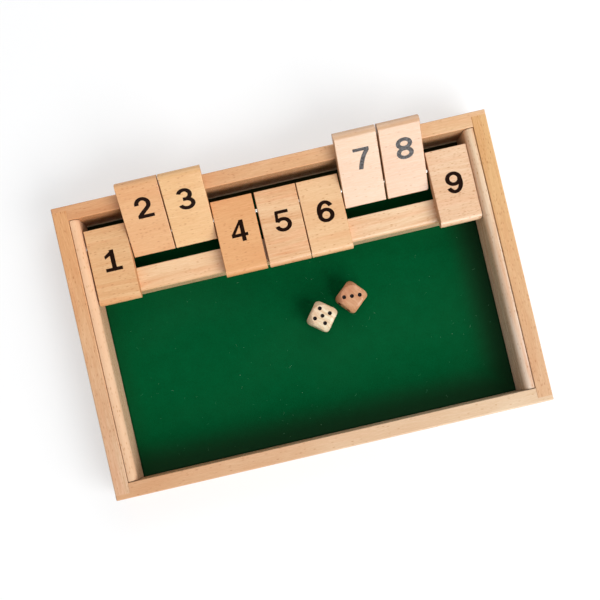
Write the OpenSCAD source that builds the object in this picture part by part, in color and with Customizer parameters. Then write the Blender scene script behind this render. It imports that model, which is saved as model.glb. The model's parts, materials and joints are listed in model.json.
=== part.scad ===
/* [Box] */
// Overall width of the box, left to right
box_w = 300; // [270:1:340]
// Overall depth of the box, front to back
box_d = 201; // [180:1:240]
// Overall height of the box
box_h = 33; // [30:0.5:45]
// Thickness of the four rails
rail_t = 10.2; // [9:0.1:13]
// Thickness of the lip that laps over the end of each side rail
lip_t = 3.4; // [2.5:0.1:5]
// Rounding of the rails' outer top edges and the box's corners
rail_ease = 1; // [0.5:0.1:2]
// Rounding of the rails' inner top edges
rim_ease = 0.6; // [0.3:0.1:1]
// Rounding of the rails' outer bottom edges
foot_ease = 0.6; // [0.3:0.1:1]

/* [Base] */
// Thickness of the base panel, which lies flush in its rebate
base_t = 3.2; // [2.5:0.1:5]
// Width of the rebate under the rails that takes the base panel
rebate_w = 5; // [4:0.1:7]
// Gap between the edge of the base panel and its rebate
base_gap = 0.15; // [0.05:0.05:0.4]
// Thickness of the felt
felt_t = 0.8; // [0.5:0.1:1.5]
// Gap between the felt and the battens and front rail
felt_gap = 0.15; // [0.1:0.05:1]
// Bare strip of base panel between the felt and the back rail
felt_bare = 1.1; // [0.3:0.1:2]

/* [Brads] */
// Diameter of a brad's shank
brad_d = 1.2; // [0.8:0.1:1.6]
// Diameter of a brad's head
brad_head_d = 2.6; // [2:0.1:3.2]
// Thickness of a brad's head, sunk flush in the base panel
brad_head_t = 0.5; // [0.3:0.1:0.8]
// Overall length of a brad
brad_l = 13; // [8:1:20]
// Gap round a brad in its hole
brad_gap = 0.05; // [0.02:0.01:0.1]
// Brads along each of the front and back rails
brads_long = 4; // [3:1:6]
// Brads along each side rail
brads_short = 3; // [2:1:4]
// Distance of the end brads from the box's corner
brad_inset = 32; // [20:1:45]

/* [Battens and rest bar] */
// Thickness of the battens that line the side rails
batten_t = 6.1; // [5:0.1:9]
// Gap between a batten and its side rail
batten_seat = 0.3; // [0.1:0.05:0.5]
// How far a batten's top lies below the rim
batten_drop = 0.6; // [0.2:0.1:2]
// Rounding of a batten's inner top edge
batten_round = 4.6; // [1:0.1:6]
// Rounding of a batten's outer top edge, against the side rail
batten_ease = 0.4; // [0.2:0.1:0.8]
// Gap between a batten's ends and the front and back rails
batten_gap = 0.45; // [0.1:0.05:0.6]
// Gap at each end of the rest bar and of the rod, against the side pieces
butt_gap = 0.1; // [0.05:0.05:0.3]
// Width of the rest bar, front to back
bar_w = 16.4; // [12:0.1:22]
// Rounding of the rest bar's front top edge
bar_round = 2.8; // [1:0.1:4]
// Rounding of the rest bar's back top edge
bar_ease = 0.8; // [0.4:0.1:1.5]
// How far a lowered tile's nose reaches past the rest bar's front face
nose_reach = 4.8; // [2:0.1:8]

/* [Tiles] */
// Thickness of a tile
tile_t = 8; // [6:0.1:9]
// Length of a tile from its square heel to its round nose
tile_l = 51.8; // [44:0.1:56]
// Distance from a tile's bore to its heel
heel_l = 11.8; // [8:0.1:14]
// Gap between one tile and the next
tile_gap = 1; // [0.8:0.05:1.5]
// Rounding of a tile's long edges, heel and corners
tile_ease = 0.5; // [0.3:0.1:1]
// Radius of the corners of tiles 8 and 9 that were sanded rounder
sanded_corner = 2.2; // [1:0.1:3]
// Gap between a tile and what it rests on
rest_gap = 0.1; // [0.05:0.05:0.3]

/* [Pivot rod] */
// Diameter of the pivot rod
rod_d = 3; // [2.5:0.1:4]
// Running gap between the rod and a tile's bore
rod_play = 0.07; // [0.03:0.01:0.1]
// Gap between the rod and its seat in a batten
rod_seat_gap = 0.02; // [0.01:0.01:0.05]
// Distance of the rod's axis from the outer face of the back rail
rod_back = 30.9; // [28:0.1:36]
// Depth of the rod's axis below the rim
rod_drop = 8; // [6:0.1:10]

/* [Dice] */
// Edge length of a die
die_s = 17; // [14:0.5:20]
// Rounding of a die's edges
die_ease = 2.6; // [0.6:0.1:3.2]
// Diameter of the sphere that rounds a die's corners off
die_ball_d = 22.4; // [21:0.1:28]
// Diameter of a pip
pip_d = 2.8; // [2:0.1:3.4]
// Depth of a pip
pip_depth = 0.7; // [0.3:0.1:1]
// Distance between a face's middle and its outer pips, along an edge
pip_step = 3.8; // [3:0.1:4.5]
// Place of the die that shows five: right of the box's middle
die_a_x = 12.6; // [5:0.1:60]
// Place of the die that shows five: in front of the rest bar
die_a_y = 44.4; // [25:0.1:80]
// Turn of the die that shows five
die_a_turn = -38.3; // [-90:0.1:90]
// Place of the die that shows three: right of the box's middle
die_b_x = 35.3; // [5:0.1:100]
// Place of the die that shows three: in front of the rest bar
die_b_y = 35.8; // [25:0.1:80]
// Turn of the die that shows three
die_b_turn = -49; // [-90:0.1:90]

/* [Hidden] */
$fn = 72;

tile_count = 9;
// Sideways place of each tile within its play on the rod, tile 1 first
tile_shift = [0.4, 0.05, -0.25, -0.65, 0, -0.4, -0.4, -0.3, 0.25];
// Whether each tile is shut: lifted over the rod and leaning on the back rail
tile_shut = [false, true, true, false, false, false, true, true, false];
// Pips of two opposite faces of a die, added up
opposite_sum = 7;
// Overrun of a cut past the face it starts from
over = 1;

inner_w = box_w - 2 * rail_t;
inner_d = box_d - 2 * rail_t;
field_w = inner_w - 2 * (batten_seat + batten_t);
side_rail_l = box_d - 2 * lip_t;
felt_top = base_t + felt_t;
batten_h = box_h - batten_drop - base_t;

cell_w = field_w / tile_count;
tile_w = cell_w - tile_gap;
rod_y = box_d / 2 - rod_back;
rod_z = box_h - rod_drop;
rod_l = inner_w - 2 * butt_gap;

bar_front = rod_y - (tile_l - heel_l) + nose_reach;
bar_h = rod_z - tile_t / 2 - rest_gap - felt_top;

// Lean of a shut tile: its face touches the rounded inner edge of the back rail
rim_run = inner_d / 2 + rim_ease - rod_y;
rim_rise = rod_drop - rim_ease;
shut_lean = atan2(rim_rise, rim_run)
    + asin((tile_t / 2 + rim_ease + rest_gap) / norm([rim_run, rim_rise]));

pip_ball_r = (pow(pip_d / 2, 2) + pow(pip_depth, 2)) / (2 * pip_depth);

beech = "#e6b485";
beech_pale = "#f0c69c";
beech_warm = "#dfa878";

// Takes the square corner off an edge at the origin, leaving radius r
module corner_cut(r) {
    difference() {
        translate([-over, -over]) square(r + over);
        translate([r, r]) circle(r);
    }
}

// Rectangle from the origin with a radius at each corner, anticlockwise from the origin's
module eased_rect(size, radii) {
    difference() {
        square(size);
        corner_cut(radii[0]);
        translate([size[0], 0]) mirror([1, 0]) corner_cut(radii[1]);
        translate(size) mirror([1, 0]) mirror([0, 1]) corner_cut(radii[2]);
        translate([0, size[1]]) mirror([0, 1]) corner_cut(radii[3]);
    }
}

// Extrudes a profile of (depth, height) along X, centred on the middle
module along_x(length) {
    translate([-length / 2, 0, 0]) rotate([90, 0, 90]) linear_extrude(length) children();
}

// Extrudes a profile of (width, height) along Y, centred on the middle
module along_y(length) {
    translate([0, length / 2, 0]) rotate([90, 0, 0]) linear_extrude(length) children();
}

// Section of a rail, outer face at zero, with the rebate for the base panel
module rail_profile() {
    difference() {
        square([rail_t, box_h]);
        corner_cut(foot_ease);
        translate([0, box_h]) mirror([0, 1]) corner_cut(rail_ease);
        translate([rail_t, box_h]) mirror([1, 0]) mirror([0, 1]) corner_cut(rim_ease);
        translate([rail_t - rebate_w, -over]) square([rebate_w + over, base_t + over]);
    }
}

// Rounds the box's outer corners and the rims of its two ends
module end_rounding() {
    intersection() {
        translate([-box_w / 2, -box_d / 2, 0])
            linear_extrude(box_h) eased_rect([box_w, box_d], [for (i = [1:4]) rail_ease]);
        translate([-box_w / 2, 0, 0])
            along_y(box_d) eased_rect([box_w, box_h], [foot_ease, foot_ease, rail_ease, rail_ease]);
    }
}

// A brad with its head at z = 0, grown all round by a gap to cut its hole
module brad(grow) {
    translate([0, 0, grow > 0 ? -over : 0])
        cylinder(d = brad_head_d + 2 * grow, h = brad_head_t + grow + (grow > 0 ? over : 0));
    cylinder(d = brad_d + 2 * grow, h = brad_l + grow);
}

// Every brad, in the middle of the base panel's edge under each rail
module brads(grow) {
    edge_x = inner_w / 2 + rebate_w / 2;
    edge_y = inner_d / 2 + rebate_w / 2;
    run_x = box_w / 2 - brad_inset;
    run_y = box_d / 2 - brad_inset;
    for (side = [-1, 1]) {
        for (i = [0 : brads_long - 1])
            translate([run_x * (2 * i / (brads_long - 1) - 1), side * edge_y, 0]) brad(grow);
        for (i = [0 : brads_short - 1])
            translate([side * edge_x, run_y * (2 * i / (brads_short - 1) - 1), 0]) brad(grow);
    }
}

// Front rail: full width, rebated at both ends for the side rails
module long_rail() {
    difference() {
        intersection() {
            translate([0, -box_d / 2, 0]) along_x(box_w) rail_profile();
            end_rounding();
        }
        for (side = [0, 1]) mirror([side, 0, 0])
            translate([inner_w / 2, lip_t - box_d / 2, -over])
                cube([rail_t + over, rail_t, box_h + 2 * over]);
    }
}

// Left side rail: its square ends sit behind the lips of the front and back rails
module side_rail() {
    translate([-box_w / 2, 0, 0]) along_y(side_rail_l) rail_profile();
}

module front_rail() {
    color(beech) difference() {
        long_rail();
        brads(brad_gap);
    }
}

module back_rail() {
    color(beech) difference() {
        mirror([0, 1, 0]) long_rail();
        brads(brad_gap);
    }
}

module left_rail() {
    color(beech) difference() {
        side_rail();
        brads(brad_gap);
    }
}

module right_rail() {
    color(beech) difference() {
        mirror([1, 0, 0]) side_rail();
        brads(brad_gap);
    }
}

// Thin panel let into the rails from below
module base_panel() {
    panel_w = inner_w + 2 * (rebate_w - base_gap);
    panel_d = inner_d + 2 * (rebate_w - base_gap);
    color("#b98d5f") difference() {
        translate([-panel_w / 2, -panel_d / 2, 0]) cube([panel_w, panel_d, base_t]);
        brads(brad_gap);
    }
}

module base_brads() {
    color("#b9b7b2") brads(0);
}

// Felt glued to the base panel, between the battens and under the rest bar
module felt() {
    felt_w = field_w - 2 * felt_gap;
    felt_d = inner_d - felt_gap - felt_bare;
    color("#07552a") translate([-felt_w / 2, felt_gap - inner_d / 2, base_t])
        cube([felt_w, felt_d, felt_t]);
}

// Left batten: stands on the base panel beside the side rail and carries the rod
module batten() {
    round_r = min(batten_round, batten_t - batten_ease);
    difference() {
        translate([batten_seat - inner_w / 2, 0, base_t])
        along_y(inner_d - 2 * batten_gap) difference() {
            square([batten_t, batten_h]);
            translate([0, batten_h]) mirror([0, 1]) corner_cut(batten_ease);
            translate([batten_t, batten_h]) mirror([1, 0]) mirror([0, 1]) corner_cut(round_r);
        }
        translate([-box_w / 2, rod_y, rod_z]) rotate([0, 90, 0])
            cylinder(d = rod_d + 2 * rod_seat_gap, h = box_w / 2);
    }
}

module left_batten() {
    color(beech_pale) batten();
}

module right_batten() {
    color(beech_pale) mirror([1, 0, 0]) batten();
}

// Bar on the felt that holds the lowered tiles level
module rest_bar() {
    color(beech_pale) translate([0, bar_front, felt_top]) along_x(field_w - 2 * butt_gap)
        difference() {
            square([bar_w, bar_h]);
            translate([0, bar_h]) mirror([0, 1]) corner_cut(bar_round);
            translate([bar_w, bar_h]) mirror([1, 0]) mirror([0, 1]) corner_cut(bar_ease);
        }
}

// Steel rod through both battens and every tile
module pivot_rod() {
    color("silver") translate([-rod_l / 2, rod_y, rod_z]) rotate([0, 90, 0])
        cylinder(d = rod_d, h = rod_l);
}

// Corner radii of tile number n: front left, front right, back right, back left
function tile_corners(n) =
    n == 9 ? [tile_ease, sanded_corner, tile_ease, tile_ease] :
    n == 8 ? [sanded_corner / 2, tile_ease, sanded_corner, tile_ease] :
    [tile_ease, tile_ease, tile_ease, tile_ease];

// One tile, bore at the origin, heel to the back and round nose to the front
module tile_body(corners) {
    nose_y = tile_t / 2 - (tile_l - heel_l);
    difference() {
        intersection() {
            along_x(tile_w) union() {
                translate([nose_y, 0]) circle(tile_t / 2);
                difference() {
                    translate([nose_y, -tile_t / 2]) square([heel_l - nose_y, tile_t]);
                    for (side = [0, 1]) mirror([0, side])
                        translate([heel_l, -tile_t / 2]) mirror([1, 0]) corner_cut(tile_ease);
                }
            }
            translate([-tile_w / 2, 0, -tile_t / 2])
                along_y(3 * tile_l) eased_rect([tile_w, tile_t], [for (i = [1:4]) tile_ease]);
            translate([-tile_w / 2, heel_l - tile_l, -tile_t])
                linear_extrude(2 * tile_t) eased_rect([tile_w, tile_l], corners);
        }
        translate([-tile_w / 2 - over, 0, 0]) rotate([0, 90, 0])
            cylinder(d = rod_d + 2 * rod_play, h = tile_w + 2 * over);
    }
}

// Tile number n in its cell, lowered on the rest bar or shut against the back rail
module tile(n, tone) {
    cell_x = (n - (tile_count + 1) / 2) * cell_w + tile_shift[n - 1];
    color(tone) translate([cell_x, rod_y, rod_z])
        rotate([tile_shut[n - 1] ? shut_lean - 180 : 0, 0, 0]) tile_body(tile_corners(n));
}

module tile_1() { tile(1, beech); }
module tile_2() { tile(2, beech); }
module tile_3() { tile(3, beech_pale); }
module tile_4() { tile(4, beech_warm); }
module tile_5() { tile(5, beech_warm); }
module tile_6() { tile(6, beech_pale); }
module tile_7() { tile(7, beech_pale); }
module tile_8() { tile(8, beech_pale); }
module tile_9() { tile(9, beech); }

// Pips of a face as steps from its middle; a three lies on one diagonal
function pips(count) = concat(
    count % 2 == 1 ? [[0, 0]] : [],
    count > 1 ? [[-1, -1], [1, 1]] : [],
    count > 3 ? [[-1, 1], [1, -1]] : [],
    count > 5 ? [[-1, 0], [1, 0]] : []);

// Dimples of one face, cut into the face that looks along +Z
module pip_cuts(count) {
    for (p = pips(count))
        translate([p[0] * pip_step, p[1] * pip_step, die_s / 2 + pip_ball_r - pip_depth])
            sphere(pip_ball_r);
}

// A die with the given pips on top; opposite faces add up to seven
module die(top, front, right) {
    module block_section() {
        translate([-die_s / 2, -die_s / 2])
            eased_rect([die_s, die_s], [for (i = [1:4]) die_ease]);
    }
    difference() {
        intersection() {
            translate([0, 0, -die_s / 2]) linear_extrude(die_s) block_section();
            along_x(die_s) block_section();
            along_y(die_s) block_section();
            sphere(d = die_ball_d);
        }
        pip_cuts(top);
        rotate([180, 0, 0]) pip_cuts(opposite_sum - top);
        rotate([90, 0, 0]) pip_cuts(front);
        rotate([-90, 0, 0]) pip_cuts(opposite_sum - front);
        rotate([0, 90, 0]) pip_cuts(right);
        rotate([0, -90, 0]) pip_cuts(opposite_sum - right);
    }
}

module die_five() {
    color("#efd3a8") translate([die_a_x, bar_front - die_a_y, felt_top + die_s / 2])
        rotate([0, 0, die_a_turn]) die(5, 1, 3);
}

module die_three() {
    color("#d39a6f") translate([die_b_x, bar_front - die_b_y, felt_top + die_s / 2])
        rotate([0, 0, die_b_turn]) die(3, 6, 2);
}

front_rail();
back_rail();
left_rail();
right_rail();
base_panel();
base_brads();
felt();
left_batten();
right_batten();
rest_bar();
pivot_rod();
tile_1();
tile_2();
tile_3();
tile_4();
tile_5();
tile_6();
tile_7();
tile_8();
tile_9();
die_five();
die_three();
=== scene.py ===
import json
import math
import random

import bmesh
import bpy
from mathutils import Matrix, Vector
from mathutils.geometry import delaunay_2d_cdt


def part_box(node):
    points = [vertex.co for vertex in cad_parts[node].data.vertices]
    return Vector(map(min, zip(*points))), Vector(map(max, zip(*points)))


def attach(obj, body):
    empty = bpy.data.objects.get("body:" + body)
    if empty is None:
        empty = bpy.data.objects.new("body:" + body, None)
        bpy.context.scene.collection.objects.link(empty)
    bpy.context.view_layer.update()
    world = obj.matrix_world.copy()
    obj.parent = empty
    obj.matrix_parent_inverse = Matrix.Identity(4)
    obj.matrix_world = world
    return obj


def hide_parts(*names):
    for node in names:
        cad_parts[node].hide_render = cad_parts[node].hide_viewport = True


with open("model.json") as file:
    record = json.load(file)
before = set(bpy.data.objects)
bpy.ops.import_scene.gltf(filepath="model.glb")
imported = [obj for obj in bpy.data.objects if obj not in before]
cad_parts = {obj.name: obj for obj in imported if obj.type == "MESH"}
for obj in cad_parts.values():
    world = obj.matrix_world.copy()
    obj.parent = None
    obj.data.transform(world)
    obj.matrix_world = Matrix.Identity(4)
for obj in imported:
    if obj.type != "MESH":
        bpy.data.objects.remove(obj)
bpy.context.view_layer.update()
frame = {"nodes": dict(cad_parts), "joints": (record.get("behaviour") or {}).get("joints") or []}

nodes = frame["nodes"]
joints = {joint["name"]: joint for joint in frame["joints"]}


# ---------------------------------------------------------------- Viewpoint
# The open box lies turned a little on the table and is seen from nearly straight
# above, from a point over the front left part of its tray.
camera_data = bpy.data.cameras.new("camera")
camera_data.sensor_width = 36
camera_data.lens = 57.78
camera_data.shift_x = 0.02
camera_data.shift_y = 0.1154
camera = bpy.data.objects.new("camera", camera_data)
bpy.context.scene.collection.objects.link(camera)
camera.rotation_mode = "XYZ"
camera.rotation_euler = (math.radians(1.49), math.radians(0.17), math.radians(-13.08))
camera.location = (-0.0205, -0.0573, 0.677)
bpy.context.scene.camera = camera
bpy.context.scene.view_settings.view_transform = "Standard"


# ---------------------------------------------------------------- Rails
# Four planed beech rails, sanded flush and sealed with a satin lacquer. The front and
# back rails run the full width and lap over the side rails' ends in glued rebates.
class Socket:
    """An output of a node; sums of sockets and numbers add the tree's Math nodes."""

    def __init__(self, graph, socket):
        self.graph = graph
        self.socket = socket

    def _sum(self, operation, *terms):
        inputs = dict(zip(("Value", "Value_001"), terms))
        return self.graph.node("ShaderNodeMath", {"operation": operation}, inputs, "Value")

    def __add__(self, other):
        return self._sum("ADD", self, other)

    def __sub__(self, other):
        return self._sum("SUBTRACT", self, other)

    def __rsub__(self, other):
        return self._sum("SUBTRACT", other, self)

    def __mul__(self, other):
        return self._sum("MULTIPLY", self, other)

    def __truediv__(self, other):
        return self._sum("DIVIDE", self, other)

    def __pow__(self, other):
        return self._sum("POWER", self, other)

    def __gt__(self, other):
        return self._sum("GREATER_THAN", self, other)

    def __abs__(self):
        return self._sum("ABSOLUTE", self)

    def most(self, other):
        return self._sum("MAXIMUM", self, other)

    def ramp(self, low, high):
        """0 where the value is low or less, 1 where it is high or more, smooth between."""
        inputs = {"Value": self, "From Min": low, "From Max": high}
        return self.graph.node(
            "ShaderNodeMapRange", {"interpolation_type": "SMOOTHSTEP"}, inputs, "Result")

    __radd__ = __add__
    __rmul__ = __mul__


class Graph:
    """A shader or geometry tree that is being built."""

    def __init__(self, tree):
        self.tree = tree

    def node(self, kind, settings, inputs, output):
        """Adds a node, sets it up, feeds its inputs and gives back the named output."""
        made = self.tree.nodes.new(kind)
        for name, setting in settings.items():
            setattr(made, name, setting)
        self.feed(made, inputs)
        found = [s for s in made.outputs if output in (s.identifier, s.name) and s.enabled]
        return Socket(self, found[0])

    def feed(self, made, inputs):
        """Links or sets inputs; a list holds the sockets that all go into one input."""
        for name, value in inputs.items():
            found = [s for s in made.inputs if name in (s.identifier, s.name) and s.enabled]
            links = value if isinstance(value, list) else [value]
            for link in links:
                if isinstance(link, Socket):
                    self.tree.links.new(link.socket, found[0])
                else:
                    found[0].default_value = link

    def split(self, vector):
        return [self.node("ShaderNodeSeparateXYZ", {}, {"Vector": vector}, axis) for axis in "XYZ"]


mm = 0.001


class Finish(Graph):
    """A material of one Principled shader; lengths on a piece are in millimetres."""

    def __init__(self, name):
        self.material = bpy.data.materials.new(name)
        self.material.use_nodes = True
        super().__init__(self.material.node_tree)
        self.shader = self.tree.nodes["Principled BSDF"]

    def surface(self, **inputs):
        self.feed(self.shader, {name.replace("_", " "): value for name, value in inputs.items()})
        return self.material

    def place(self, centre, turn=(0, 0, 0)):
        """Places on the piece, from its own middle and along its own axes."""
        spot = self.node("ShaderNodeTexCoord", {}, {}, "Object")
        inputs = {"Vector": spot, "Location": centre, "Rotation": turn, "Scale": (mm,) * 3}
        return self.node("ShaderNodeMapping", {"vector_type": "TEXTURE"}, inputs, "Vector")

    def facing(self, turn=(0, 0, 0)):
        """The way the surface faces, along the piece's own axes."""
        normal = self.node("ShaderNodeTexCoord", {}, {}, "Normal")
        inputs = {"Vector": normal, "Rotation": turn}
        return self.node("ShaderNodeMapping", {"vector_type": "TEXTURE"}, inputs, "Vector")

    def noise(self, vector, size, detail=2.0, roughness=0.5):
        """Soft noise from 0 to 1 whose lumps are size long, wide and high."""
        inputs = {"Vector": self.stretch(vector, size), "Scale": 1.0,
                  "Detail": detail, "Roughness": roughness}
        return self.node("ShaderNodeTexNoise", {}, inputs, "Fac")

    def stretch(self, vector, size):
        inputs = {"Vector": vector, "Vector_001": size}
        return self.node("ShaderNodeVectorMath", {"operation": "DIVIDE"}, inputs, "Vector")

    def mix(self, factor, first, second, way="MIX"):
        """Colour first where factor is 0 and second where it is 1."""
        settings = {"data_type": "RGBA", "blend_type": way}
        inputs = {"Factor_Float": factor, "A_Color": first, "B_Color": second}
        return self.node("ShaderNodeMix", settings, inputs, "Result_Color")

    def stain(self, colour, share, tint):
        """The colour, with a share of it multiplied by a tint."""
        return self.mix(share, colour, self.mix(1.0, colour, tint, "MULTIPLY"))

    def bump(self, height, strength, depth):
        inputs = {"Height": height, "Strength": strength, "Distance": depth}
        return self.node("ShaderNodeBump", {}, inputs, "Normal")


def paint(red, green, blue):
    """A colour given as it looks on a screen, from 0 to 255, as the shader wants it."""
    shares = [c / 255 for c in (red, green, blue)]
    return tuple(c / 12.92 if c <= 0.04045 else ((c + 0.055) / 1.055) ** 2.4 for c in shares) + (1,)


def shade(colour, red, green, blue):
    return (colour[0] * red, colour[1] * green, colour[2] * blue, 1)


# Sizes in the grain, in millimetres along, across and into the wood
log_reach = 400
pith_aside, pith_near, pith_far = 30, 45, 110
ring_width = 2.4
ring_wander = 12
wander_size = (110, 26, 26)
streak_size = (24, 1.1, 1.1)
fibre_size = (7, 0.3, 0.3)
patch_size = (60, 20, 20)
fleck_size = (3.2, 0.95, 0.95)
blush_size = (70, 6, 6)
# What each kind of grain multiplies a piece's tone by
dark_grain, pale_grain = (0.89, 0.76, 0.65, 1), (1.07, 1.17, 1.25, 1)
fleck_tint = (0.72, 0.54, 0.4, 1)
blush_tint = (1.02, 0.88, 0.84, 1)
end_tint = (0.7, 0.57, 0.46, 1)
lacquer_roughness = 0.27
coat_roughness = 0.18
wood_relief = 0.00012


def beech(
        name, tones, centre, turn=(0, 0, 0), length=0.1,
        figure=1.0, flecks=0.5, seed=0, shine=0.5, gloss=0.0):
    """Lacquered beech, grain along the piece's own X, its tone drifting from end to end."""
    draw = random.Random(seed)
    wood = Finish(name)
    own = wood.place(centre, turn)
    shift = tuple(draw.uniform(-log_reach, log_reach) for axis in "XYZ")
    inputs = {"Vector": own, "Vector_001": shift}
    spot = wood.node("ShaderNodeVectorMath", {"operation": "ADD"}, inputs, "Vector")
    _, across, deep = wood.split(spot)
    pith_across = shift[1] + draw.uniform(-pith_aside, pith_aside)
    pith_deep = shift[2] - draw.uniform(pith_near, pith_far)
    wander = (wood.noise(spot, wander_size, detail=1.0) - 0.5) * ring_wander
    reach = ((across - pith_across) ** 2 + (deep - pith_deep) ** 2) ** 0.5 + wander
    inputs = {"W": reach / ring_width, "Scale": 1.0, "Detail": 2.0, "Roughness": 0.62}
    rings = wood.node("ShaderNodeTexNoise", {"noise_dimensions": "1D"}, inputs, "Fac")
    streaks = wood.noise(spot, streak_size, detail=3.0, roughness=0.65)
    fibres = wood.noise(spot, fibre_size, roughness=0.6)
    patches = wood.noise(spot, patch_size)
    inputs = {"Vector": wood.stretch(spot, fleck_size), "Scale": 1.0, "Randomness": 1.0}
    cell = wood.node("ShaderNodeTexVoronoi", {}, inputs, "Distance")
    lot = wood.split(wood.node("ShaderNodeTexVoronoi", {}, inputs, "Color"))[0]
    fleck = (1 - cell.ramp(0.14, 0.42)) * lot.ramp(1 - flecks, 1.0)
    blush = wood.noise(spot, blush_size, detail=1.0).ramp(0.5, 0.7) * figure
    end = abs(wood.split(wood.facing(turn))[0]).ramp(0.35, 0.85)

    drift = wood.split(own)[0] / (length / mm) + 0.5
    tone = wood.mix(drift.ramp(0, 1), *tones)
    light = (rings - 0.5) * 0.6 + (streaks - 0.5) * 0.5 + (fibres - 0.5) * 0.3
    light = (light * figure + (patches - 0.5) * 0.5 + 0.5).ramp(0.0, 1.0)
    colour = wood.stain(tone, 1.0, wood.mix(light, dark_grain, pale_grain))
    colour = wood.stain(colour, fleck * 0.85, fleck_tint)
    colour = wood.stain(colour, blush * 0.3, blush_tint)
    colour = wood.stain(colour, end * 0.8, end_tint)
    height = fibres * 0.5 + streaks * 0.4 - fleck * 0.5
    return wood.surface(
        Base_Color=colour,
        Roughness=lacquer_roughness + (fibres - 0.5) * 0.12 + end * 0.6,
        Specular_IOR_Level=shine,
        Coat_Weight=gloss,
        Coat_Roughness=coat_roughness,
        Normal=wood.bump(height, 0.3, wood_relief))


def clad(piece, material):
    """Gives a piece one material all over."""
    piece.data.materials.clear()
    piece.data.materials.append(material)


def middle(node):
    low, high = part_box(node)
    return (low + high) / 2


def long_side(node):
    low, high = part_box(node)
    return max(high - low)


lengthways, sideways = (0, 0, 0), (0, 0, math.pi / 2)
# Each rail's tone at its two ends, the turn of its grain, and how figured and flecked it is
rails = {
    "front_rail": (paint(211, 161, 119), paint(222, 192, 159), lengthways, 0.5, 0.35),
    "back_rail": (paint(216, 157, 109), paint(225, 179, 134), lengthways, 1.0, 0.4),
    "left_rail": (paint(214, 172, 136), paint(220, 160, 107), sideways, 1.9, 0.5),
    "right_rail": (paint(214, 169, 129), paint(219, 169, 112), sideways, 0.8, 0.9),
}
rail_seed = 11
for number, (rail, (tone, far_tone, turn, figure, flecks)) in enumerate(rails.items()):
    wood = beech(
        f"{rail}_beech", (tone, far_tone), middle(rail), turn, long_side(rail),
        figure, flecks, rail_seed + number)
    clad(nodes[rail], wood)


# ---------------------------------------------------------------- Base panel
# A sheet of thin birch plywood let into a rebate under the rails, its grain running
# the length of the box, left bare under the felt and on the underside.
birch = paint(238, 216, 182)
panel_wood = beech(
    "base_panel_birch", (birch, birch), middle("base_panel"), figure=1.2, flecks=0.2, seed=21)
clad(nodes["base_panel"], panel_wood)


# ---------------------------------------------------------------- Brads
# Fourteen round-headed steel brads, driven flush through the base panel into the rails
# and left bare.
tarnish_size = (5, 5, 5)
steel_relief = 0.00003


def steel(name, tone, rubbed, roughness):
    """Bare steel with fine marks of the given sizes, in millimetres."""
    metal = Finish(name)
    spot = metal.place((0, 0, 0))
    grain = metal.noise(spot, rubbed, detail=3.0, roughness=0.7)
    tarnish = metal.noise(spot, tarnish_size)
    return metal.surface(
        Base_Color=metal.mix(tarnish.ramp(0.35, 0.75), tone, shade(tone, 0.72, 0.68, 0.6)),
        Metallic=1.0,
        Roughness=roughness + (grain - 0.5) * 0.25,
        Normal=metal.bump(grain, 0.2, steel_relief))


brad_marks = (0.3, 0.3, 0.3)
clad(nodes["base_brads"], steel("brad_steel", paint(188, 186, 180), brad_marks, 0.38))


# ---------------------------------------------------------------- Felt
# One rectangle of green craft felt, cut with a knife and glued flat to the base panel
# before the battens and the rest bar went in, so the dice land softly.
felt_low, felt_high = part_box("felt")
felt_size = (felt_high.x - felt_low.x, felt_high.y - felt_low.y)
felt_cell = 0.0016
felt_lift = 0.00006
felt_seed = 5
felt_green = paint(0, 79, 40)
# A paler green, mixed into the felt in soft patches as a painted sheen haze on the nap
sheen_haze_green = paint(24, 86, 50)
felt_relief = 0.0003
# Sizes of the marks in the felt, in millimetres
clump_size, nap_size = (9, 9, 9), (0.5, 0.5, 0.5)
hair_size, crossing_size = (2.6, 0.3, 0.5), (0.3, 2.4, 0.5)
sheen_haze_size = (90, 60, 60)


def felt_sheet():
    """A thin slab whose top is a fine grid that rises and falls a little."""
    width, depth = felt_size
    columns, rows = round(width / felt_cell), round(depth / felt_cell)
    draw = random.Random(felt_seed)
    mesh = bmesh.new()
    tops = []
    for row in range(rows + 1):
        line = []
        for column in range(columns + 1):
            x = felt_low.x + width * column / columns
            y = felt_low.y + depth * row / rows
            line.append(mesh.verts.new((x, y, felt_high.z - draw.uniform(0, felt_lift))))
        tops.append(line)
    for row in range(rows):
        for column in range(columns):
            near, far = tops[row], tops[row + 1]
            mesh.faces.new((near[column], near[column + 1], far[column + 1], far[column]))
    rim = tops[0] + [line[-1] for line in tops[1:-1]] + tops[-1][::-1]
    rim += [line[0] for line in tops[-2:0:-1]]
    foot = [mesh.verts.new((v.co.x, v.co.y, felt_low.z)) for v in rim]
    for i, top in enumerate(rim):
        j = (i + 1) % len(rim)
        mesh.faces.new((foot[i], foot[j], rim[j], top))
    mesh.faces.new(foot[::-1])
    made = bpy.data.meshes.new("felt_sheet")
    mesh.to_mesh(made)
    mesh.free()
    made.shade_smooth()
    piece = bpy.data.objects.new("felt_sheet", made)
    bpy.context.scene.collection.objects.link(piece)
    return piece


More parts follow.
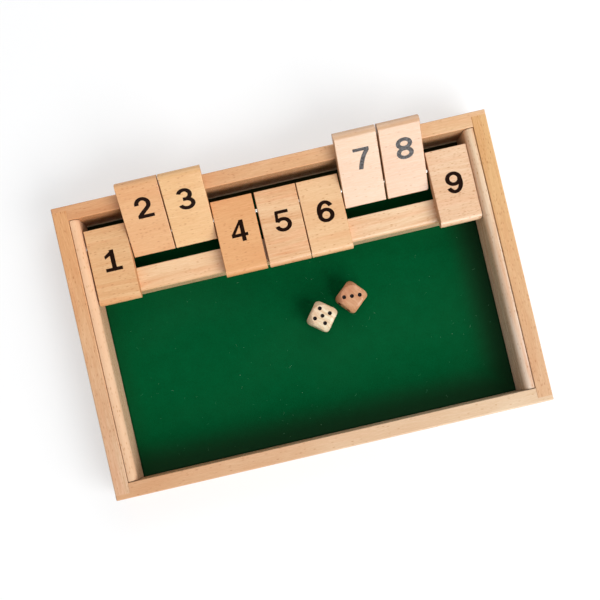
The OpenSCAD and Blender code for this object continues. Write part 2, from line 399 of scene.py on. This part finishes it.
def wool_felt():
    """Matted dyed fibres: mottled, with paler patches of painted sheen and borders darkened by
    painted shade.
    """
    wool = Finish("green_wool_felt")
    spot = wool.place((felt_low + felt_high) / 2)
    clumps = wool.noise(spot, clump_size, detail=3.0, roughness=0.6)
    nap = wool.noise(spot, nap_size, roughness=0.7)
    hairs = wool.noise(spot, hair_size)
    crossing = wool.noise(spot, crossing_size)
    light = (clumps - 0.5) * 0.5 + (nap - 0.5) * 0.7 + (hairs - 0.5) * 0.4 + (crossing - 0.5) * 0.4
    dark, pale = shade(felt_green, 0.7, 0.8, 0.75), shade(felt_green, 1.6, 1.2, 1.3)
    colour = wool.mix((light + 0.5).ramp(0, 1), dark, pale)
    # Soft paler patches across the felt: painted sheen haze
    sheen_haze = wool.noise(spot, sheen_haze_size, detail=1.0).ramp(0.4, 0.7)
    colour = wool.mix(sheen_haze * 0.15, colour, sheen_haze_green)
    across, away, _ = wool.split(spot)
    half_across, half_away = (side / mm / 2 for side in felt_size)
    past_left, past_right = 0 - across - half_across, across - half_across
    past_front, past_back = 0 - away - half_away, away - half_away
    # Borders of painted shade where the rails and the tiles shade the felt, deepest at the front and
    # right: how far past each edge a point is, where its border begins and is full, and its look
    painted_shade_borders = (
        (past_right.most(past_front), -26.0, -1.0, 0.75, paint(28, 50, 32)),
        (past_left, -14.0, 0.0, 0.35, paint(12, 56, 28)),
        (past_back, -9.0, -2.0, 0.8, paint(52, 48, 24)))
    # Each border mixes a darker painted-shade colour into the felt towards that edge
    for past, begins, full, share, tone in painted_shade_borders:
        colour = wool.mix(past.ramp(begins, full) * share, colour, tone)
    return wool.surface(
        Base_Color=colour,
        Roughness=0.95,
        Sheen_Weight=0.04,
        Sheen_Roughness=0.5,
        Sheen_Tint=(0.3, 1.0, 0.6, 1),
        Specular_IOR_Level=0.03,
        Normal=wool.bump(nap + hairs + crossing, 0.5, felt_relief))


felt = felt_sheet()
clad(felt, wool_felt())
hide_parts("felt")
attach(felt, "box")


# ---------------------------------------------------------------- Battens
# Two beech battens with a rounded inner top edge, glued inside the side rails. Each is
# drilled through near the back and holds an end of the steel rod.
batten_seed = 31
batten_flecks = 0.6
# Each batten's tone at its front and back ends, and how figured it is
battens = {
    "left_batten": (paint(225, 185, 150), paint(239, 197, 160), 0.45),
    "right_batten": (paint(228, 200, 176), paint(232, 196, 161), 1.9),
}
for number, (batten, (tone, far_tone, figure)) in enumerate(battens.items()):
    wood = beech(
        f"{batten}_beech", (tone, far_tone), middle(batten), sideways, long_side(batten),
        figure, batten_flecks, batten_seed + number, shine=0.1)
    clad(nodes[batten], wood)


# ---------------------------------------------------------------- Rest bar
# One beech bar across the tray, its front top edge rounded, glued down on the felt.
# Lowered tiles lie on it with their noses just past it.
bar_tones = (paint(234, 189, 144), paint(235, 196, 157))
bar_wood = beech(
    "rest_bar_beech", bar_tones, middle("rest_bar"), lengthways, long_side("rest_bar"),
    figure=1.4, flecks=0.4, seed=41)
clad(nodes["rest_bar"], bar_wood)


# ---------------------------------------------------------------- Pivot rod
# A plain drawn steel rod, pushed through the nine tiles, its ends held in the battens'
# holes. It is bright with fine lines along it.
rod_lines = (12, 0.15, 0.15)
clad(nodes["pivot_rod"], steel("rod_steel", paint(214, 212, 208), rod_lines, 0.22))


# ---------------------------------------------------------------- Tiles
# Nine beech tiles sawn as slices from one bullnose moulding, so the grain runs across
# them and their two sides show end grain. Each has its number printed on both faces.
tile_thick = 0.008
tile_seed = 50
# Each tile's tone, how figured and flecked it is, and its coat of gloss
tile_tones = {
    1: (paint(226, 177, 127), 1.1, 0.6, 0.0),
    2: (paint(224, 170, 120), 0.6, 0.5, 0.0),
    3: (paint(230, 184, 131), 0.7, 0.5, 0.0),
    4: (paint(227, 167, 113), 0.7, 0.5, 0.0),
    5: (paint(228, 180, 135), 2.4, 0.3, 0.0),
    6: (paint(233, 187, 140), 0.8, 0.5, 0.0),
    7: (paint(214, 174, 138), 0.45, 0.25, 0.38),
    8: (paint(212, 170, 133), 0.55, 0.25, 0.32),
    9: (paint(232, 193, 157), 1.0, 1.0, 0.0),
}


def hinge_place(number):
    return Vector(joints[f"tile_{number}_flip"]["pos_m"])


def rest_turn(number):
    """How far a tile is turned over about the rod as the box lies here: 0 if lowered."""
    return math.radians(joints[f"tile_{number}_flip"]["range_deg"][0])


for number, (tone, figure, flecks, gloss) in tile_tones.items():
    tile = nodes[f"tile_{number}"]
    turn = (rest_turn(number), 0, 0)
    wood = beech(
        f"tile_{number}_beech", (tone, tone), hinge_place(number), turn,
        figure=figure, flecks=flecks, seed=tile_seed + number, gloss=gloss)
    clad(tile, wood)


# ---------------------------------------------------------------- Numbers
# Plain black numbers, pad printed on each tile: one on the face that shows when the
# tile is lowered, and one on the face that shows when it leans on the back rail.
arc_step = 6
# Half the width of an upright stroke and of a level one, in millimetres as all numerals are
pen_wide, pen_high = 1.5, 1.18


def arc(centre, across, up, start, end):
    """Points on an ellipse from one angle to another, in degrees."""
    count = max(2, round(abs(end - start) / arc_step))
    angles = [math.radians(start + (end - start) * i / count) for i in range(count + 1)]
    return [Vector((centre[0] + across * math.cos(a), centre[1] + up * math.sin(a))) for a in angles]


def curve(a, b, c, d, count=14):
    """Points on a Bezier curve from a to d that leaves towards b and comes in from c."""
    points = [Vector(p) for p in (a, b, c, d)]
    steps = [i / count for i in range(count + 1)]
    weights = [((1 - t) ** 3, 3 * t * (1 - t) ** 2, 3 * t * t * (1 - t), t ** 3) for t in steps]
    return [sum((w * p for w, p in zip(row, points)), Vector((0, 0))) for row in weights]


def stroke(path, closed=False):
    """Quads along a path, as wide as a pen that is wider than it is high."""
    count = len(path)
    sides = []
    for i, point in enumerate(path):
        before = path[(i - 1) % count] if closed or i else path[i]
        after = path[(i + 1) % count] if closed or i < count - 1 else path[i]
        heading = (after - before).normalized()
        normal = Vector((-heading.y, heading.x))
        reach = math.hypot(pen_wide * normal.x, pen_high * normal.y)
        offset = Vector((pen_wide ** 2 * normal.x, pen_high ** 2 * normal.y)) / reach
        sides.append((point + offset, point - offset))
    pairs = zip(sides, sides[1:] + sides[:1]) if closed else zip(sides, sides[1:])
    return [[a[0], a[1], b[1], b[0]] for a, b in pairs]


def ring(centre, across, up):
    return stroke(arc(centre, across, up, 0, 360)[:-1], closed=True)


def bar(left, right, top, bottom):
    return [[Vector(p) for p in ((left, top), (left, bottom), (right, bottom), (right, top))]]


def six(turned=False):
    parts = ring((0.1, -2.6), 4.15, 3.7) + stroke(arc((0.35, 0), 4.6, 6.25, 31, 205))
    return [[-p for p in part] for part in parts] if turned else parts


numerals = {
    1: bar(-1.2, 1.85, 7.3, -7.3) + bar(-5.75, 5.75, -4.95, -7.3)
       + [[Vector(p) for p in ((0.6, 7.3), (-5.1, 3.65), (-4.85, 1.55), (-1.2, 3.2), (0.6, 3.2))]],
    2: stroke(arc((-0.37, 2.4), 4.0, 3.7, 187, -28)[:-1]
              + curve((3.16, 0.66), (2.36, -0.73), (-2.1, -3.4), (-3.7, -5.6)))
       + bar(-5.3, 5.8, -4.95, -7.3),
    3: stroke(arc((-0.5, 3.1), 3.85, 3.15, 165, -90) + [Vector((-2.0, -0.05))])
       + stroke(arc((-0.05, -3.2), 4.3, 3.1, 90, -168)),
    4: bar(0.85, 3.75, 7.3, -7.3) + bar(-5.65, 5.6, -1.85, -4.05)
       + [[Vector(p) for p in ((1.3, 7.3), (-5.65, -2.0), (-2.95, -1.85), (0.85, 3.9), (2, 6))]],
    5: bar(-3.9, 4.75, 7.3, 5.1)
       + [[Vector(p) for p in ((-4.3, 7.3), (-4.95, -0.3), (-2.4, -0.75), (-2.75, 1.4), (-2.2, 5.6))]]
       + stroke(arc((-0.1, -2.45), 4.4, 3.75, 147, -168)),
    6: six(),
    7: bar(-5.5, 5.5, 7.3, 5.2) + stroke(curve((4.3, 5.6), (1.4, 2.6), (-0.7, -2.2), (-1.65, -7.3))),
    8: ring((0, 3.35), 4.1, 2.9) + ring((0, -3.2), 4.35, 3.05),
    9: six(turned=True),
}
# Where each number's middle lies from the middle of its tile, and from the rod
number_across = {1: 0.9, 2: 1.25, 3: 0.4, 4: 0.8, 5: 0.7, 6: 0.95, 7: 2.35, 8: 1.8, 9: 0.8}
lowered_from_rod = {1: 11.5, 4: 11.5, 5: 11.4, 6: 11.7, 9: 12.4}
shut_from_rod = {2: 21.5, 3: 20.8, 7: 20.5, 8: 20.7}
usual_from_rod = (11.4, 21.0)
# Keep only what lies inside the outlines, and join corners that are this near, in millimetres
inside_only, join_reach = 1, 1e-4
ink_thick = 0.00005
ink_sunk = 0.00002
ink_relief = 0.00006
wear_size, dab_size = (3.5, 0.35, 0.35), (1.3, 0.9, 0.9)


def printed_number(name, number, place, film):
    """A film of ink: the parts of a numeral joined into one outline and given thickness."""
    corners, loops = [], []
    for part in numerals[number]:
        loops.append([len(corners) + i for i in range(len(part))])
        corners += part
    points, _, faces, _, _, sources = delaunay_2d_cdt(
        corners, [], loops, inside_only, join_reach)
    mesh = bmesh.new()
    verts = [mesh.verts.new((p.x * mm, p.y * mm, -ink_sunk)) for p in points]
    for face, source in zip(faces, sources):
        if source:
            mesh.faces.new([verts[i] for i in face])
    bmesh.ops.delete(mesh, geom=[v for v in mesh.verts if not v.link_faces], context="VERTS")
    grown = bmesh.ops.extrude_face_region(mesh, geom=mesh.faces[:])
    raised = [g for g in grown["geom"] if isinstance(g, bmesh.types.BMVert)]
    bmesh.ops.translate(mesh, vec=(0, 0, ink_thick + ink_sunk), verts=raised)
    bmesh.ops.transform(mesh, matrix=place, verts=mesh.verts)
    bmesh.ops.recalc_face_normals(mesh, faces=mesh.faces)
    made = bpy.data.meshes.new(name)
    mesh.to_mesh(made)
    mesh.free()
    piece = bpy.data.objects.new(name, made)
    bpy.context.scene.collection.objects.link(piece)
    clad(piece, film)
    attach(piece, f"tile_{number}")


def ink(name, lacquer):
    """Black printing ink, thinner where the grain shows through, dull or under lacquer."""
    film = Finish(name)
    spot = film.place((0, 0, 0))
    worn = film.noise(spot, wear_size, detail=3.0, roughness=0.65)
    dabs = film.noise(spot, dab_size, detail=1.0).ramp(0.4, 0.6)
    return film.surface(
        Base_Color=film.mix(worn.ramp(0.5, 0.8), paint(24, 6, 0), paint(46, 26, 14)),
        Roughness=0.35,
        Specular_IOR_Level=0.06,
        Coat_Weight=(dabs * 0.6 + 0.4) * lacquer if lacquer else 0.0,
        Coat_Roughness=coat_roughness,
        Normal=film.bump(worn, 0.15, ink_relief))


black_ink = ink("black_ink", 0.0)
lacquered_ink = ink("lacquered_ink", 0.66)
turned_over = Matrix.Rotation(math.pi, 4, "X")
for number in numerals:
    hinge = Matrix.Translation(hinge_place(number)) @ Matrix.Rotation(rest_turn(number), 4, "X")
    across = number_across[number] * mm
    upper_away = lowered_from_rod.get(number, usual_from_rod[0]) * mm
    under_away = shut_from_rod.get(number, usual_from_rod[1]) * mm
    upper = Matrix.Translation((across, -upper_away, tile_thick / 2))
    under = Matrix.Translation((across, under_away, tile_thick / 2))
    film = lacquered_ink if tile_tones[number][3] else black_ink
    printed_number(f"number_{number}_upper", number, hinge @ upper, film)
    printed_number(f"number_{number}_under", number, hinge @ turned_over @ under, film)


# ---------------------------------------------------------------- Dice
# Two wooden dice with rounded edges, one pale and one brown, tumbled smooth and oiled.
# Their pips are drilled as shallow round dimples.
grain_tilt = (0.25, 0.35)
flame_size = (14, 5, 9)
flame_wander = 9
heart_edge = (-6.5, -2.5)
heart_share = 0.4
die_fibre_size = (5, 0.3, 0.3)
die_relief = 0.0001
# Each die's finish, its turn on the felt in degrees, its tone, its heartwood's and a seed
dice = {
    "die_five": ("pale_die_wood", -38.3, paint(236, 218, 186), paint(222, 176, 145), 3),
    "die_three": ("brown_die_wood", -49.0, paint(207, 154, 115), paint(174, 104, 72), 5),
}


def die_wood(name, centre, turn, tone, dark, seed):
    """Oiled hardwood: flame figure and darker heartwood along one side of the block."""
    wood = Finish(name)
    spot = wood.place(centre, (*grain_tilt, turn))
    along, across, _ = wood.split(spot)
    wander = (wood.noise(spot, flame_size) - 0.5) * flame_wander
    inputs = {"W": (across + (wander + seed * 10)) / ring_width, "Scale": 1.0,
              "Detail": 2.0, "Roughness": 0.6}
    rings = wood.node("ShaderNodeTexNoise", {"noise_dimensions": "1D"}, inputs, "Fac")
    fibres = wood.noise(spot, die_fibre_size)
    heart = 1 - (along + wander * 0.6).ramp(*heart_edge)
    light = rings * 0.7 + fibres * 0.3
    colour = wood.mix(light.ramp(0.38, 0.6), shade(tone, 0.83, 0.69, 0.59), tone)
    return wood.surface(
        Base_Color=wood.mix(heart * heart_share, colour, dark),
        Roughness=0.4 + (fibres - 0.5) * 0.15,
        Coat_Weight=0.1,
        Coat_Roughness=0.25,
        Normal=wood.bump(fibres, 0.2, die_relief))


class Recipe(Graph):
    """A Geometry Nodes tree with named inputs, made up once on a mesh to start from."""

    def __init__(self, name):
        super().__init__(bpy.data.node_groups.new(name, "GeometryNodeTree"))
        self.tree.is_modifier = True
        for way in ("INPUT", "OUTPUT"):
            self.tree.interface.new_socket("Geometry", in_out=way, socket_type="NodeSocketGeometry")
        self.start = self.node("NodeGroupInput", {}, {}, "Geometry")
        self.sizes = {}

    def size(self, name, value):
        """A named input of the tree and the value it is given."""
        entry = self.tree.interface.new_socket(name, in_out="INPUT", socket_type="NodeSocketFloat")
        self.sizes[entry.identifier] = value
        return self.node("NodeGroupInput", {}, {}, name)

    def make(self, name, start, copies, material):
        """Ends the tree, runs it on the starting mesh and gives back the plain piece."""
        whole = self.node("GeometryNodeRealizeInstances", {}, {"Geometry": copies}, "Geometry")
        inputs = {"Geometry": whole, "Material": material}
        coated = self.node("GeometryNodeSetMaterial", {}, inputs, "Geometry")
        end = self.tree.nodes.new("NodeGroupOutput")
        self.tree.links.new(coated.socket, end.inputs["Geometry"])
        host = bpy.data.objects.new(name, start)
        bpy.context.scene.collection.objects.link(host)
        modifier = host.modifiers.new(name, "NODES")
        modifier.node_group = self.tree
        for identifier, value in self.sizes.items():
            modifier[identifier] = value
        seen = host.evaluated_get(bpy.context.evaluated_depsgraph_get())
        mesh = bpy.data.meshes.new_from_object(seen)
        bpy.data.objects.remove(host)
        piece = bpy.data.objects.new(name, mesh)
        bpy.context.scene.collection.objects.link(piece)
        return piece


pip_step = 0.0038
pip_wide, pip_deep = 0.0028, 0.0007
bowl_radius = ((pip_wide / 2) ** 2 + pip_deep ** 2) / (2 * pip_deep)
paint_thick = 0.00004
paint_reach = 0.97
bowl_segments, bowl_rings = 20, 24
paint_relief = 0.00004
paint_patch_size = (0.6, 0.6, 0.6)
quarter = math.pi / 2
# Where the pips of each count lie on a face, in steps from its middle
pip_steps = {
    1: [(0, 0)],
    2: [(-1, -1), (1, 1)],
    4: [(-1, -1), (1, 1), (-1, 1), (1, -1)],
}
pip_steps[3] = pip_steps[1] + pip_steps[2]
pip_steps[5] = pip_steps[1] + pip_steps[4]
pip_steps[6] = pip_steps[4] + [(-1, 0), (1, 0)]
opposite_sum = 7


def pip_starts(die, edge, top, front, right):
    """A vertex in the middle of every pip, flush with its face, that keeps the face's way."""
    faces = [
        (top, Matrix()), (opposite_sum - top, Matrix.Rotation(math.pi, 4, "X")),
        (front, Matrix.Rotation(quarter, 4, "X")),
        (opposite_sum - front, Matrix.Rotation(-quarter, 4, "X")),
        (right, Matrix.Rotation(quarter, 4, "Y")),
        (opposite_sum - right, Matrix.Rotation(-quarter, 4, "Y"))]
    turn = Matrix.Rotation(math.radians(dice[die][1]), 4, "Z")
    whole = Matrix.Translation(middle(die)) @ turn
    spots, ways = [], []
    for count, face in faces:
        for across, up in pip_steps[count]:
            spots.append(whole @ face @ Vector((across * pip_step, up * pip_step, edge / 2)))
            ways.append((whole @ face).to_3x3() @ Vector((0, 0, 1)))
    mesh = bpy.data.meshes.new(f"{die}_pip_starts")
    mesh.from_pydata(spots, [], [])
    way = mesh.attributes.new("way", "FLOAT_VECTOR", "POINT")
    for number, vector in enumerate(ways):
        way.data[number].vector = vector
    return mesh


def pip_paint(die, edge, top, front, right):
    """A thin film of paint that lines each dimple: the low cap of a ball, made solid."""
    recipe = Recipe(f"{die}_pips")
    radius = recipe.size("Bowl radius", bowl_radius)
    rise = recipe.size("Bowl centre above the face", bowl_radius - pip_deep)
    film = recipe.size("Paint thickness", paint_thick)
    inputs = {"Segments": bowl_segments, "Rings": bowl_rings, "Radius": radius}
    ball = recipe.node("GeometryNodeMeshUVSphere", {}, inputs, "Mesh")
    height = recipe.split(recipe.node("GeometryNodeInputPosition", {}, {}, "Position"))[2]
    inputs = {"Geometry": ball, "Selection": height > rise * -paint_reach}
    cap = recipe.node("GeometryNodeDeleteGeometry", {"domain": "POINT"}, inputs, "Geometry")
    inner = recipe.node("GeometryNodeFlipFaces", {}, {"Mesh": cap}, "Mesh")
    inputs = {"Mesh": inner, "Offset Scale": film, "Individual": False}
    inner = recipe.node("GeometryNodeExtrudeMesh", {"mode": "FACES"}, inputs, "Mesh")
    both = recipe.node("GeometryNodeJoinGeometry", {}, {"Geometry": [cap, inner]}, "Geometry")
    closed = recipe.node(
        "GeometryNodeMergeByDistance", {}, {"Geometry": both, "Distance": film * 0.1}, "Geometry")
    lift = recipe.node("ShaderNodeCombineXYZ", {}, {"Z": rise}, "Vector")
    closed = recipe.node(
        "GeometryNodeTransform", {}, {"Geometry": closed, "Translation": lift}, "Geometry")
    settings = {"data_type": "FLOAT_VECTOR"}
    way = recipe.node("GeometryNodeInputNamedAttribute", settings, {"Name": "way"}, "Attribute")
    settings = {"axis": "Z"}
    turn = recipe.node("FunctionNodeAlignRotationToVector", settings, {"Vector": way}, "Rotation")
    inputs = {"Points": recipe.start, "Instance": closed, "Rotation": turn}
    copies = recipe.node("GeometryNodeInstanceOnPoints", {}, inputs, "Instances")
    return recipe.make(f"{die}_pips", pip_starts(die, edge, top, front, right), copies, pip_black)


def pip_coat():
    """Black pip paint, a little thin at the rim."""
    coat = Finish("pip_paint")
    spot = coat.place((0, 0, 0))
    patchy = coat.noise(spot, paint_patch_size)
    return coat.surface(
        Base_Color=coat.mix(patchy.ramp(0.5, 0.8), paint(14, 4, 5), paint(34, 18, 18)),
        Roughness=0.42 + (patchy - 0.5) * 0.2,
        Specular_IOR_Level=0.12,
        Normal=coat.bump(patchy, 0.2, paint_relief))


pip_black = pip_coat()
# How many pips each die shows on top, in front and on the right before its turn
shown = {"die_five": (5, 1, 3), "die_three": (3, 6, 2)}
for die, (wood_slot, degrees, tone, dark, seed) in dice.items():
    wood = die_wood(wood_slot, middle(die), math.radians(degrees), tone, dark, seed)
    clad(nodes[die], wood)
    low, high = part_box(die)
    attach(pip_paint(die, high.z - low.z, *shown[die]), die)


# ---------------------------------------------------------------- Lint
# Pale specks and short hairs of dust that have caught on the open felt in front of the
# rest bar.
lint_margin = 0.004
lint_clear = 0.015
speck_seed, hair_seed = 3, 8
dust_patch_size = (6, 6, 6)
# The least and the most that a speck and a hair are stretched along, across and up
speck_stretch = (0.5, 0.5, 0.3), (1.5, 1.2, 0.5)
hair_stretch = (0.5, 0.5, 1.0), (1.5, 1.5, 1.0)


def lint_field():
    """One face over the open felt, just under the top of its nap."""
    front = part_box("rest_bar")[0].y
    low = felt_low + Vector((lint_margin,) * 3)
    high = Vector((felt_high.x, front, felt_high.z)) - Vector((lint_margin,) * 3)
    height = felt_high.z - felt_lift / 2
    rim = [(x, y, height) for x, y in (
        (low.x, low.y), (high.x, low.y), (high.x, high.y), (low.x, high.y))]
    mesh = bpy.data.meshes.new("lint_field")
    mesh.from_pydata(rim, [], [(0, 1, 2, 3)])
    return mesh


def scatter(recipe, shape, density, seed, smallest, largest):
    """Copies of a shape at chance places, turns and sizes, clear of the dice."""
    inputs = {"Mesh": recipe.start, "Density": density, "Seed": seed}
    settings = {"distribute_method": "RANDOM"}
    points = recipe.node("GeometryNodeDistributePointsOnFaces", settings, inputs, "Points")
    place = recipe.node("GeometryNodeInputPosition", {}, {}, "Position")
    clear = 1.0
    for die in dice:
        inputs = {"Vector": place, "Vector_001": middle(die)}
        away = recipe.node("ShaderNodeVectorMath", {"operation": "DISTANCE"}, inputs, "Value")
        clear = (away > lint_clear) * clear
    chance = {"data_type": "FLOAT_VECTOR"}
    inputs = {"Min": (0, 0, 0), "Max": (0, 0, 2 * math.pi), "Seed": 1}
    turn = recipe.node("FunctionNodeRandomValue", chance, inputs, "Value")
    inputs = {"Min": smallest, "Max": largest, "Seed": 2}
    scale = recipe.node("FunctionNodeRandomValue", chance, inputs, "Value")
    inputs = {"Points": points, "Selection": clear, "Instance": shape,
              "Rotation": turn, "Scale": scale}
    return recipe.node("GeometryNodeInstanceOnPoints", {}, inputs, "Instances")


def lint():
    """Flattened specks and curved hairs, strewn over the field in one mesh."""
    recipe = Recipe("felt_lint")
    speck_size = recipe.size("Speck radius", 0.00019)
    speck_share = recipe.size("Specks in a square metre", 2600.0)
    hair_bend = recipe.size("Bend radius of a hair", 0.0014)
    hair_thick = recipe.size("Radius of a hair", 0.00004)
    hair_share = recipe.size("Hairs in a square metre", 1300.0)
    inputs = {"Radius": speck_size, "Subdivisions": 1}
    speck = recipe.node("GeometryNodeMeshIcoSphere", {}, inputs, "Mesh")
    inputs = {"Resolution": 5, "Radius": hair_bend, "Sweep Angle": 1.3}
    bend = recipe.node("GeometryNodeCurveArc", {"mode": "RADIUS"}, inputs, "Curve")
    inputs = {"Resolution": 4, "Radius": hair_thick}
    girth = recipe.node("GeometryNodeCurvePrimitiveCircle", {"mode": "RADIUS"}, inputs, "Curve")
    inputs = {"Curve": bend, "Profile Curve": girth, "Fill Caps": True}
    hair = recipe.node("GeometryNodeCurveToMesh", {}, inputs, "Mesh")
    specks = scatter(recipe, speck, speck_share, speck_seed, *speck_stretch)
    hairs = scatter(recipe, hair, hair_share, hair_seed, *hair_stretch)
    strewn = recipe.node("GeometryNodeJoinGeometry", {}, {"Geometry": [specks, hairs]}, "Geometry")
    return recipe.make("felt_lint", lint_field(), strewn, lint_grey())


def lint_grey():
    """Dusty wool, from grey green to cream."""
    dust = Finish("lint")
    patchy = dust.noise(dust.place((0, 0, 0)), dust_patch_size)
    return dust.surface(
        Base_Color=dust.mix(patchy.ramp(0.4, 0.75), paint(60, 135, 95), paint(140, 185, 150)),
        Roughness=0.9)


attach(lint(), "box")


# ---------------------------------------------------------------- Table and light
# A white table top in a white room. One large soft lamp stands in front and to the right,
# a weaker one behind, and a small one to the left helps the room to fill the shadows.
floor_reach = 6.0
white = (1, 1, 1, 1)
table_grey, seen_grey = (0.85, 0.85, 0.85, 1), (0.5, 0.5, 0.5, 1)
table_glow = 0.497
fade_begins, fade_ends = 400, 1100
floor_mesh = bpy.data.meshes.new("floor")
corners = [(x * floor_reach, y * floor_reach, 0) for x, y in ((-1, -1), (1, -1), (1, 1), (-1, 1))]
floor_mesh.from_pydata(corners, [], [(0, 1, 2, 3)])
floor = bpy.data.objects.new("floor", floor_mesh)
bpy.context.scene.collection.objects.link(floor)


def shown_ray(graph):
    """1 for what the camera sees, straight on or in a gloss, and 0 for what only lights."""
    camera_ray = graph.node("ShaderNodeLightPath", {}, {}, "Is Camera Ray")
    glossy_ray = graph.node("ShaderNodeLightPath", {}, {}, "Is Glossy Ray")
    return camera_ray.most(glossy_ray)


def white_table():
    """White to the light, paler still where it is seen, and lost in the white room far off."""
    table = Finish("white_table")
    table.surface(Base_Color=table_grey, Roughness=0.9, Specular_IOR_Level=0.0)
    near = table.node("ShaderNodeBsdfPrincipled", {}, {
        "Base Color": seen_grey, "Roughness": 0.9, "Specular IOR Level": 0.0,
        "Emission Color": white, "Emission Strength": table_glow}, "BSDF")
    far = table.node("ShaderNodeEmission", {}, {"Color": white, "Strength": 1.0}, "Emission")
    spot = table.place((0, 0, 0))
    away = table.node("ShaderNodeVectorMath", {"operation": "LENGTH"}, {"Vector": spot}, "Value")
    inputs = {"Fac": away.ramp(fade_begins, fade_ends), "Shader": near, "Shader_001": far}
    seen = table.node("ShaderNodeMixShader", {}, inputs, "Shader")
    plain = Socket(table, table.shader.outputs["BSDF"])
    inputs = {"Fac": shown_ray(table), "Shader": plain, "Shader_001": seen}
    both = table.node("ShaderNodeMixShader", {}, inputs, "Shader")
    output = table.tree.nodes["Material Output"]
    table.tree.links.new(both.socket, output.inputs["Surface"])
    return table.material


clad(floor, white_table())

lamp_away = 2.2
lamp_colour = (0.965, 0.985, 1.0)
room_light = 0.35


def lamp(name, right, up, wide, high, energy):
    """A soft lamp that looks at the middle of the box."""
    right, up = math.radians(right), math.radians(up)
    way = Vector((math.sin(right) * math.cos(up), -math.cos(right) * math.cos(up), math.sin(up)))
    data = bpy.data.lights.new(name, "AREA")
    data.shape = "RECTANGLE"
    data.size = wide
    data.size_y = high
    data.energy = energy
    data.color = lamp_colour
    made = bpy.data.objects.new(name, data)
    bpy.context.scene.collection.objects.link(made)
    made.location = way * lamp_away
    made.rotation_euler = way.to_track_quat("Z", "Y").to_euler()


# Degrees to the right of straight in front, degrees up, metres wide and high, and watts
lamps = {
    "key_lamp": (36, 41, 1.9, 1.3, 48),
    "side_lamp": (150, 38, 2.0, 2.0, 18),
    "fill_lamp": (-73, 24, 1.5, 1.5, 3.5),
}
for name, setting in lamps.items():
    lamp(name, *setting)

world = bpy.data.worlds.new("room")
bpy.context.scene.world = world
world.use_nodes = True
room = Graph(world.node_tree)
strength = shown_ray(room) * (1 - room_light) + room_light
room.feed(world.node_tree.nodes["Background"], {"Color": white, "Strength": strength})
